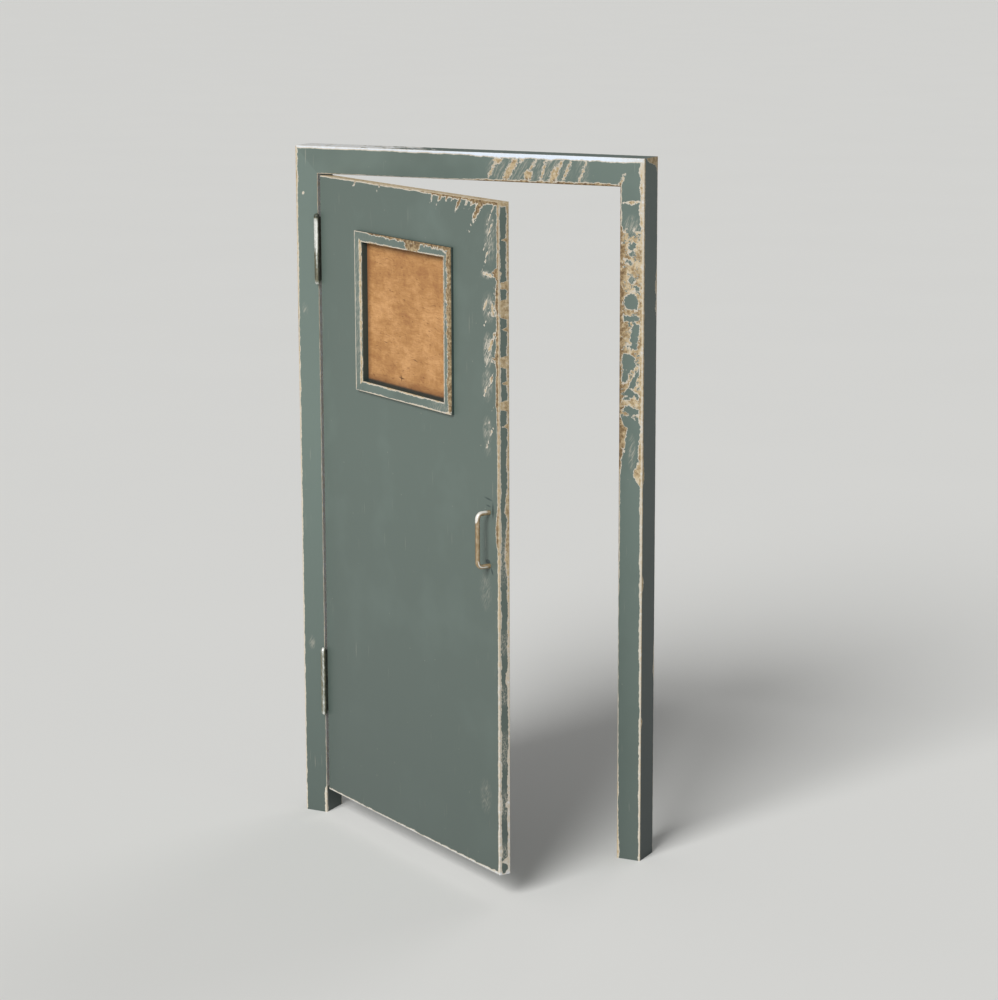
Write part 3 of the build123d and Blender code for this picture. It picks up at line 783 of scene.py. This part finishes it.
def plywood():
    """Rotary cut softwood plywood, unsanded and oiled by weather: warm orange tan, a slow mottle,
    level fibres, short dark checks and one small knot, with painted shade along the beads and above the sill."""
    finish = bpy.context.scene.door_finish
    material, tree = begin("Softwood plywood")
    place = millimetres(tree, "leaf")
    bend = add(tree, "TexNoise", {"Vector": place, "Scale": 1 / 70, "Detail": 2.0}, out=1)
    bend = add(tree, "VectorMath", {0: bend, 1: (0.5, 0.5, 0.5)}, operation="SUBTRACT")
    bend = add(tree, "VectorMath", {0: bend, 1: (30.0, 0.0, 26.0)}, operation="MULTIPLY")
    bent = add(tree, "VectorMath", {0: place, 1: bend}, operation="ADD")

    # Slow patches of 110 mm, growth bands 15 mm apart and 60 mm long, and a soft mottle of 30 mm
    slow = add(tree, "TexNoise", {"Vector": place, "Scale": 1 / 110, "Detail": 2.0})
    bands = add(tree, "Mapping", {"Vector": bent, "Scale": (1 / 60, 1 / 20, 1 / 15)})
    bands = add(tree, "TexNoise", {"Vector": bands, "Scale": 1.0, "Detail": 5.0, "Roughness": 0.7})
    mottle = add(tree, "Mapping", {"Vector": bent, "Scale": (1 / 26, 1 / 20, 1 / 30)})
    mottle = add(tree, "TexNoise", {"Vector": mottle, "Scale": 1.0, "Detail": 5.0, "Roughness": 0.7})
    axes = split(tree, place)
    shade = along(tree, axes["Z"], ((1486, 0.2), (1640, 0.26), (1760, 0.28), (1860, 0.12), (1923, 0.06)))
    tone = combine(tree, "ADD", slow, bands, mottle, shade)
    tone = add(tree, "MapRange", (tone, 1.22, 2.06))
    veneer = shaded(tree, tone, (0.0, linear("#93623A")), (0.5, finish.plywood), (1.0, linear("#CB9A66")))

    # Fibres 1.8 mm apart, a little coarser than real ones so that they show, and checks 24 mm long
    fibres = add(tree, "Mapping", {"Vector": bent, "Scale": (1 / 26, 1 / 20, 1 / 1.8)})
    fibres = add(tree, "TexNoise", {"Vector": fibres, "Scale": 1.0, "Detail": 2.0})
    fibre_dark = add(tree, "MapRange", (fibres, 0.55, 0.3, 0.0, 0.34))
    checks = add(tree, "Mapping", {
        "Vector": bent, "Rotation": (0, math.radians(5), 0), "Scale": (24.0, 20.0, 4.2)},
        vector_type="TEXTURE")
    checks = grain(tree, checks, 1.0, (0.67, 0.77, 0.0, 0.6), 1.0)

    # One star shaped knot near the foot, and two longer checks above it
    face = (box_when_closed("window_board")[0].y - LEAF_LOW.y) * MM
    marks = [chip(tree, bent, face, spot, size, lean) for spot, size, lean in (
        ((473, 1523), (4, 15), -4), ((476, 1522), (22, 3.4), 6),
        ((382, 1621), (16, 2.2), 8), ((561, 1584), (20, 2.4), 12))]
    mark = add(tree, "MapRange", (combine(tree, "MAXIMUM", *marks), 0.0, 2.4, 0.0, 0.9))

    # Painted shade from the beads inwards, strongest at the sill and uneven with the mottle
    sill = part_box("window_front_bead_bottom")[1].z * MM
    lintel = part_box("window_front_bead_top")[0].z * MM
    near = (box_when_closed("window_front_bead_hinge_side")[1].x - LEAF_LOW.x) * MM
    far = (box_when_closed("window_front_bead_lock_side")[0].x - LEAF_LOW.x) * MM
    left = add(tree, "MapRange", (axes["X"], near + 30, near))
    right = add(tree, "MapRange", (axes["X"], far - 18, far, 0.0, 0.5))
    upper = add(tree, "MapRange", (axes["Z"], lintel - 28, lintel, 0.0, 0.6))
    lower = add(tree, "MapRange", (axes["Z"], sill + 40, sill + 6))
    bead_shade = combine(tree, "MAXIMUM", left, right, upper, lower)
    uneven = add(tree, "Math", (bead_shade, mottle, 0.0), operation="MULTIPLY_ADD")
    bead_shade = add(tree, "MapRange", (uneven, 0.1, 0.6, 0.0, 0.8))
    # Painted shade: a dark band on the board just above the sill, where it meets the bead
    sill_shade = add(tree, "MapRange", (axes["Z"], sill + 11, sill + 5, 0.0, 0.88))
    colour = layered(
        tree, veneer, (fibre_dark, linear("#8A5C36")), (checks, linear("#6A4222")), (mark, linear("#4A2C14")),
        (bead_shade, finish.plywood_shaded), (sill_shade, finish.soot_and_shade))
    bump = add(tree, "Bump", {"Height": fibres, "Distance": 0.0005, "Strength": 0.7})
    return close(material, {"Base Color": colour, "Roughness": 0.72, "Normal": bump, "IOR": 1.45})


def hinge_steel(body):
    """Turned mild steel barrels that were painted with the door and have worn through: olive brown
    where grease and rust hold, with rings from turning, and painted light across each barrel: a highlight
    on the side towards the front and left and in a band near its middle, and painted shade on the far side."""
    material, tree = begin("Worn hinge steel, " + body + " half")
    place = millimetres(tree, body)
    axes = split(tree, place)
    pivot = Vector(HINGE["pos_m"])
    lit_side = Vector((-0.86, -0.51, 0.0))
    if body == "leaf":
        lit_side = CLOSING.to_3x3() @ lit_side
        pivot = pivot - LEAF_CORNER
    off = add(tree, "VectorMath", {0: place, 1: pivot * MM}, operation="SUBTRACT")
    off = add(tree, "VectorMath", {0: off, 1: lit_side}, out=1, operation="DOT_PRODUCT")
    # Painted light by height: how bright the lit side, the shaded side and a highlight band between them are,
    # with the barrels' wear in the same stops
    lit_side_tone = along(tree, axes["Z"], (
        (335, 0.8), (352, 0.54), (420, 0.51), (552, 0.55), (568, 0.82), (1755, 0.9), (1764, 1.0),
        (1774, 0.42), (1800, 0.34), (1860, 0.44), (1885, 0.84), (1960, 0.92), (1970, 0.86),
        (1976, 0.2), (1990, 0.2)))
    shaded_side_tone = along(tree, axes["Z"], (
        (335, 0.2), (568, 0.24), (1755, 0.6), (1766, 0.5), (1778, 0.06), (1990, 0.04)))
    highlight_stripe = along(tree, axes["Z"], (
        (335, 0.6), (352, 0.2), (552, 0.24), (568, 0.5), (1764, 0.0), (1790, 0.1), (1850, 0.4), (1990, 0.0)))
    turn = add(tree, "MapRange", (off, -5.0, -1.5))
    gap = combine(tree, "SUBTRACT", lit_side_tone, shaded_side_tone)
    tone = add(tree, "Math", (gap, turn, shaded_side_tone), operation="MULTIPLY_ADD")
    middle = add(tree, "MapRange", (apart(tree, off, 2.0), 3.4, 1.4))
    tone = add(tree, "Math", (middle, highlight_stripe, tone), operation="MULTIPLY_ADD")
    smear = add(tree, "Mapping", {"Vector": place, "Scale": (1 / 5, 1 / 5, 1 / 13)})
    smear = grain(tree, smear, 1.0, (0.3, 0.7, -0.22, 0.2), 4.0, 0.65)
    tone = combine(tree, "ADD", tone, smear)
    colour = shaded(tree, tone, *[(spot, linear(code)) for spot, code in (
        (0.0, "#2E2A20"), (0.26, "#454B42"), (0.44, "#6C664C"), (0.66, "#8E938A"), (1.0, "#E6E6E0"))])
    rings = add(tree, "Mapping", {"Vector": place, "Scale": (1 / 60, 1 / 60, 1 / 1.4)})
    rings = add(tree, "TexNoise", {"Vector": rings, "Scale": 1.0, "Detail": 2.0})
    bump = add(tree, "Bump", {"Height": rings, "Distance": 0.0002, "Strength": 0.5})
    rough = add(tree, "MapRange", (tone, 0.2, 0.9, 0.6, 0.34))
    return close(material, {"Base Color": colour, "Metallic": 0.25, "Roughness": rough, "Normal": bump})


def pull_steel():
    """Bent round bar of mild steel, its paint gone: brown rust polished by hands, tan on the side
    that faces the lock edge, with a painted highlight on the outer side of the two bends."""
    finish = bpy.context.scene.door_finish
    material, tree = begin("Rusted round bar")
    place = millimetres(tree, "leaf")
    axes = split(tree, place)
    low, high = box_when_closed("pull_handle")
    low, high = low * MM, high * MM
    bar = (high.x - low.x) / 2
    bend = 16.0
    elbow = low.y - LEAF_LOW.y * MM + bar + bend
    out = combine(tree, "SUBTRACT", elbow, axes["Y"])
    out = combine(tree, "MAXIMUM", out, 0.0)
    rubbed = []
    # Each bend: height of its centre, which way is outward, where the painted highlight line starts
    # and ends, and how far it runs on
    for centre, way, start, end, run in (
            (high.z - bar - bend, 1, 1.0, 30.0, 14.0), (low.z + bar + bend, -1, -1.6, 3.4, 6.0)):
        up = combine(tree, "SUBTRACT", axes["Z"], centre)
        up = combine(tree, "MULTIPLY", up, way)
        near = add(tree, "MapRange", (up, -run, -run + 6))
        out_of_bend = combine(tree, "MINIMUM", up, 0.0)
        up = combine(tree, "MAXIMUM", up, 0.0)
        arm = add(tree, "CombineXYZ", {0: out, 1: up})
        arm = add(tree, "VectorMath", {0: arm}, out=1, operation="LENGTH")
        lag = add(tree, "Math", (out_of_bend, 0.4, arm), operation="MULTIPLY_ADD")
        edge = add(tree, "MapRange", (lag, bend + start, bend + start + 2.0))
        far = add(tree, "MapRange", (lag, bend + end, bend + end - 1.5))
        rubbed.append(combine(tree, "MULTIPLY", edge, near, far))
    middle = (low.x + high.x) / 2 - LEAF_LOW.x * MM
    away = add(tree, "MapRange", (axes["Y"], -7.0, -16.0))
    bright = combine(tree, "MULTIPLY", combine(tree, "MAXIMUM", *rubbed), away)
    side = add(tree, "MapRange", (axes["X"], middle - 4, middle + 3, -0.26, 0.32))
    smear = add(tree, "Mapping", {"Vector": place, "Scale": (1 / 6, 1 / 6, 1 / 16)})
    smear = grain(tree, smear, 1.0, (0.3, 0.7, 0.1, 0.5), 4.0, 0.65)
    tone = combine(tree, "ADD", smear, side)
    film = shaded(
        tree, tone, (0.0, finish.rust_dark), (0.26, finish.rust), (0.6, finish.rust_pale),
        (1.0, finish.primer))
    # The pale colour on the bends is a painted highlight
    colour = layered(tree, film, (bright, linear("#DEDAD2")))
    bump = add(tree, "Bump", {"Height": smear, "Distance": 0.0003, "Strength": 0.5})
    return close(material, {"Base Color": colour, "Metallic": 0.2, "Roughness": 0.42, "Normal": bump})


def zinc_plate():
    """Bright zinc plate on steel fixings, dulled: pale warm grey metal with small dark stains."""
    material, tree = begin("Dulled zinc plate")
    coordinates = add(tree, "TexCoord").node.outputs["Object"]
    stains = add(tree, "TexNoise", {"Vector": coordinates, "Scale": MM / 4, "Detail": 4.0})
    colour = shaded(tree, stains, (0.35, linear("#6E6A60")), (0.6, linear("#B9B6AC")))
    return close(material, {"Base Color": colour, "Metallic": 0.85, "Roughness": 0.42})


def studio_floor(colour):
    """Matt studio vinyl: an even pale grey with the faintest cloud, so that it never glares."""
    material, tree = begin("Pale studio floor")
    coordinates = add(tree, "TexCoord").node.outputs["Object"]
    cloud = grain(tree, coordinates, 0.7, (0.0, 1.0, 0.0, 0.1))
    return close(material, {
        "Base Color": layered(tree, colour, (cloud, linear("#C8C8C5"))), "Roughness": 0.85})


def seat(outward, at):
    """The matrix that turns a fixing made along Z to stand out of a face at a place."""
    return Matrix.Translation(Vector(at)) @ Vector(outward).to_track_quat("Z", "Y").to_matrix().to_4x4()


def blank(bm, segments, foot, top, depth, base, soft):
    """A cone or a prism that stands along Z from a base height, with a softened top edge."""
    made = bmesh.ops.create_cone(
        bm, cap_ends=True, segments=segments, radius1=foot, radius2=top, depth=depth)
    verts = made["verts"]
    rim = [e for e in {e for v in verts for e in v.link_edges} if all(v.co.z > 0 for v in e.verts)]
    bmesh.ops.translate(bm, verts=verts, vec=(0, 0, base + depth / 2))
    bevelled = bmesh.ops.bevel(
        bm, geom=rim, offset=soft, segments=2, profile=0.5, affect="EDGES", material=-1)
    return list({v for v in verts if v.is_valid} | set(bevelled["verts"]))


def screw_head(bm, place, fixings, spin=0.0):
    """A flush countersunk head with a straight slot, on the plane of its face."""
    radius = fixings.screw_head / 2
    depth = radius * 0.6
    proud = 0.0002
    verts = blank(bm, 24, radius * 0.6, radius, depth, proud - depth, 0.0003)
    top = max((f for v in verts for f in v.link_faces), key=lambda f: f.calc_center_median().z)
    ring = list(set(verts) | set(top.verts))
    half = fixings.screw_slot / 2
    for side in (-half, half):
        faces = [f for f in {f for v in ring for f in v.link_faces}
                 if f.calc_center_median().z > proud * 0.95]
        edges = {e for f in faces for e in f.edges}
        corners = {v for f in faces for v in f.verts}
        cut = bmesh.ops.bisect_plane(
            bm, geom=faces + list(edges) + list(corners), dist=1e-7, plane_co=(0, side, 0),
            plane_no=(0, 1, 0))
        ring += [g for g in cut["geom"] if isinstance(g, bmesh.types.BMVert)]
    ring = [v for v in set(ring) if v.is_valid]
    slot = []
    for face in {f for v in ring for f in v.link_faces}:
        middle = face.calc_center_median()
        if face.normal.z > 0.9 and abs(middle.y) < half * 0.9 and middle.z > proud * 0.75:
            slot.append(face)
    sunk = bmesh.ops.extrude_face_region(bm, geom=slot)
    floor = [g for g in sunk["geom"] if isinstance(g, bmesh.types.BMVert)]
    bmesh.ops.translate(bm, verts=floor, vec=(0, 0, -fixings.screw_slot))
    bmesh.ops.delete(bm, geom=slot, context="FACES_ONLY")
    everything = list({v for v in ring + floor if v.is_valid})
    bmesh.ops.transform(bm, matrix=place @ Matrix.Rotation(math.radians(spin), 4, "Z"), verts=everything)


def piece(name, bm, material, body):
    """Turns a finished bmesh into an object that rides on a body of the door.

    What rides on the leaf is made on the closed door, so it is swung out with it first."""
    if body == "leaf":
        bmesh.ops.transform(bm, matrix=CLOSING.inverted(), verts=bm.verts[:])
    bmesh.ops.recalc_face_normals(bm, faces=bm.faces[:])
    mesh = bpy.data.meshes.new(name)
    bm.to_mesh(mesh)
    bm.free()
    mesh.materials.append(material)
    made = bpy.data.objects.new(name, mesh)
    bpy.context.scene.collection.objects.link(made)
    for polygon in mesh.polygons:
        polygon.use_smooth = True
    mesh.set_sharp_from_angle(angle=math.radians(30))
    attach(made, body)


class DOOR_OT_add_hinge_screws(bpy.types.Operator):
    """Add four countersunk screws to each half of each hinge"""

    bl_idname = "door.add_hinge_screws"
    bl_label = "Add Hinge Screws"

    def execute(self, context):
        fixings = context.scene.door_fixings
        zinc = zinc_plate()
        for body, part, outward, across in (
                ("frame", "frame_plate", (1, 0, 0), JAMB_FACE / MM),
                ("leaf", "leaf_plate", (-1, 0, 0), LEAF_LOW.x)):
            bm = bmesh.new()
            for end in ("upper", "lower"):
                name = f"{end}_hinge_{part}"
                low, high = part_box(name) if body == "frame" else box_when_closed(name)
                # The screws stand in a zigzag down the plate
                for index, (part_way, back) in enumerate((
                        (0.1, 0.020), (0.37, 0.011), (0.63, 0.020), (0.9, 0.011))):
                    at = (across, LEAF_LOW.y + back, low.z + part_way * (high.z - low.z))
                    screw_head(bm, seat(outward, at), fixings, 35.0 * index + 10)
            piece(f"hinge_screws_{body}_half", bm, zinc, body)
        return {"FINISHED"}


class DOOR_OT_add_bead_screws(bpy.types.Operator):
    """Add the countersunk screws that hold the back beads"""

    bl_idname = "door.add_bead_screws"
    bl_label = "Add Bead Screws"

    def execute(self, context):
        fixings = context.scene.door_fixings
        _, high = box_when_closed("window_back_bead_top")
        left, _ = box_when_closed("window_back_bead_hinge_side")
        _, right = box_when_closed("window_back_bead_lock_side")
        foot, _ = box_when_closed("window_back_bead_bottom")
        inset = 0.013
        back = high.y
        spots = []
        for part_way in (0.09, 0.5, 0.91):
            across = left.x + part_way * (right.x - left.x)
            spots += [(across, back, high.z - inset), (across, back, foot.z + inset)]
        for part_way in (0.3, 0.7):
            up = foot.z + part_way * (high.z - foot.z)
            spots += [(left.x + inset, back, up), (right.x - inset, back, up)]
        bm = bmesh.new()
        for index, at in enumerate(spots):
            screw_head(bm, seat((0, 1, 0), at), fixings, 41.0 * index)
        piece("window_bead_screws", bm, zinc_plate(), "leaf")
        return {"FINISHED"}


class DOOR_OT_add_pull_bolts(bpy.types.Operator):
    """Add the two bolts with washers that hold the pull from the back of the leaf"""

    bl_idname = "door.add_pull_bolts"
    bl_label = "Add Pull Bolts"

    def execute(self, context):
        fixings = context.scene.door_fixings
        low, high = box_when_closed("pull_handle")
        bar = (high.x - low.x) / 2
        washer_thick = 0.0016
        bm = bmesh.new()
        for up, turned in ((low.z + bar, 12.0), (high.z - bar, 41.0)):
            place = seat((0, 1, 0), ((low.x + high.x) / 2, LEAF_HIGH.y, up))
            place = place @ Matrix.Rotation(math.radians(turned), 4, "Z")
            for segments, radius, base, thick in (
                    (40, fixings.washer / 2, 0.0, washer_thick),
                    (6, fixings.bolt_flats / 2 / math.cos(math.pi / 6), washer_thick, 0.0053)):
                verts = blank(bm, segments, radius, radius, thick, base, 0.0005)
                bmesh.ops.transform(bm, matrix=place, verts=verts)
        piece("pull_bolts", bm, zinc_plate(), "leaf")
        return {"FINISHED"}


class DOOR_OT_set_stage(bpy.types.Operator):
    """Lay the floor, hang the lights and set the camera where the photograph was taken from"""

    bl_idname = "door.set_stage"
    bl_label = "Set Stage"

    def execute(self, context):
        stage = context.scene.door_stage
        bm = bmesh.new()
        bmesh.ops.create_grid(bm, x_segments=2, y_segments=2, size=stage.floor_size / 2)
        mesh = bpy.data.meshes.new("studio_floor")
        bm.to_mesh(mesh)
        bm.free()
        mesh.materials.append(studio_floor(stage.floor_colour))
        floor = bpy.data.objects.new("studio_floor", mesh)
        context.scene.collection.objects.link(floor)

        world = bpy.data.worlds.new("Studio")
        world.use_nodes = True
        sky = world.node_tree.nodes["Background"].inputs
        sky["Color"].default_value = (1, 1, 1, 1)
        sky["Strength"].default_value = stage.sky
        context.scene.world = world
        context.scene.view_settings.view_transform = "Standard"

        # A broad soft light in front and above, a little to the left, and a weak one behind
        for name, strength, away in (
                ("key_light", stage.key, (-0.045, -0.82, 0.57)),
                ("fill_light", stage.fill, (0.13, 0.75, 0.64))):
            data = bpy.data.lights.new(name, "SUN")
            data.energy = strength
            data.angle = math.radians(30)
            lamp = bpy.data.objects.new(name, data)
            lamp.rotation_euler = Vector(away).to_track_quat("Z", "Y").to_euler()
            context.scene.collection.objects.link(lamp)

        # Place, heading, tilt and roll fitted to the corners in the photograph
        stand = Matrix.Translation((4.7383, -7.9431, 2.9294))
        heading, tilt, roll = 0.4706, 0.20215, -0.00313
        ahead = Vector((
            -math.sin(heading) * math.cos(tilt), math.cos(heading) * math.cos(tilt), -math.sin(tilt)))
        right = Vector((math.cos(heading), math.sin(heading), 0.0))
        up = right.cross(ahead)
        level = Matrix((right, up, -ahead)).transposed()
        data = bpy.data.cameras.new("photo_camera")
        data.sensor_width = 36.0
        data.lens = stage.lens
        data.clip_end = 500.0
        camera = bpy.data.objects.new("photo_camera", data)
        camera.matrix_world = stand @ (level @ Matrix.Rotation(roll, 3, "Z")).to_4x4()
        context.scene.collection.objects.link(camera)
        context.scene.camera = camera
        return {"FINISHED"}


STEPS = (
    DOOR_OT_finish_frame, DOOR_OT_finish_leaf, DOOR_OT_finish_window, DOOR_OT_finish_hinges,
    DOOR_OT_finish_pull, DOOR_OT_add_hinge_screws, DOOR_OT_add_bead_screws, DOOR_OT_add_pull_bolts,
    DOOR_OT_set_stage)
GROUPS = {"door_finish": DoorFinish, "door_fixings": DoorFixings, "door_stage": DoorStage}


class DOOR_PT_panel(bpy.types.Panel):
    """Lists the steps that dress the door, and the sizes and colours that they use"""

    bl_label = "Steel Door"
    bl_idname = "DOOR_PT_panel"
    bl_space_type = "VIEW_3D"
    bl_region_type = "UI"
    bl_category = "Steel Door"

    def draw(self, context):
        column = self.layout.column(align=True)
        for step in STEPS:
            column.operator(step.bl_idname)
        for name, group in GROUPS.items():
            box = self.layout.box()
            for key in group.__annotations__:
                box.prop(getattr(context.scene, name), key)


def register():
    for group in GROUPS.values():
        bpy.utils.register_class(group)
    for step in STEPS:
        bpy.utils.register_class(step)
    bpy.utils.register_class(DOOR_PT_panel)
    for name, group in GROUPS.items():
        setattr(bpy.types.Scene, name, PointerProperty(type=group))


def unregister():
    for name in GROUPS:
        delattr(bpy.types.Scene, name)
    for known in (DOOR_PT_panel, *reversed(STEPS), *reversed(GROUPS.values())):
        bpy.utils.unregister_class(known)


def main():
    """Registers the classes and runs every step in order."""
    register()
    for step in STEPS:
        getattr(bpy.ops.door, step.bl_idname.split(".")[1])()


if __name__ == "__main__":
    main()
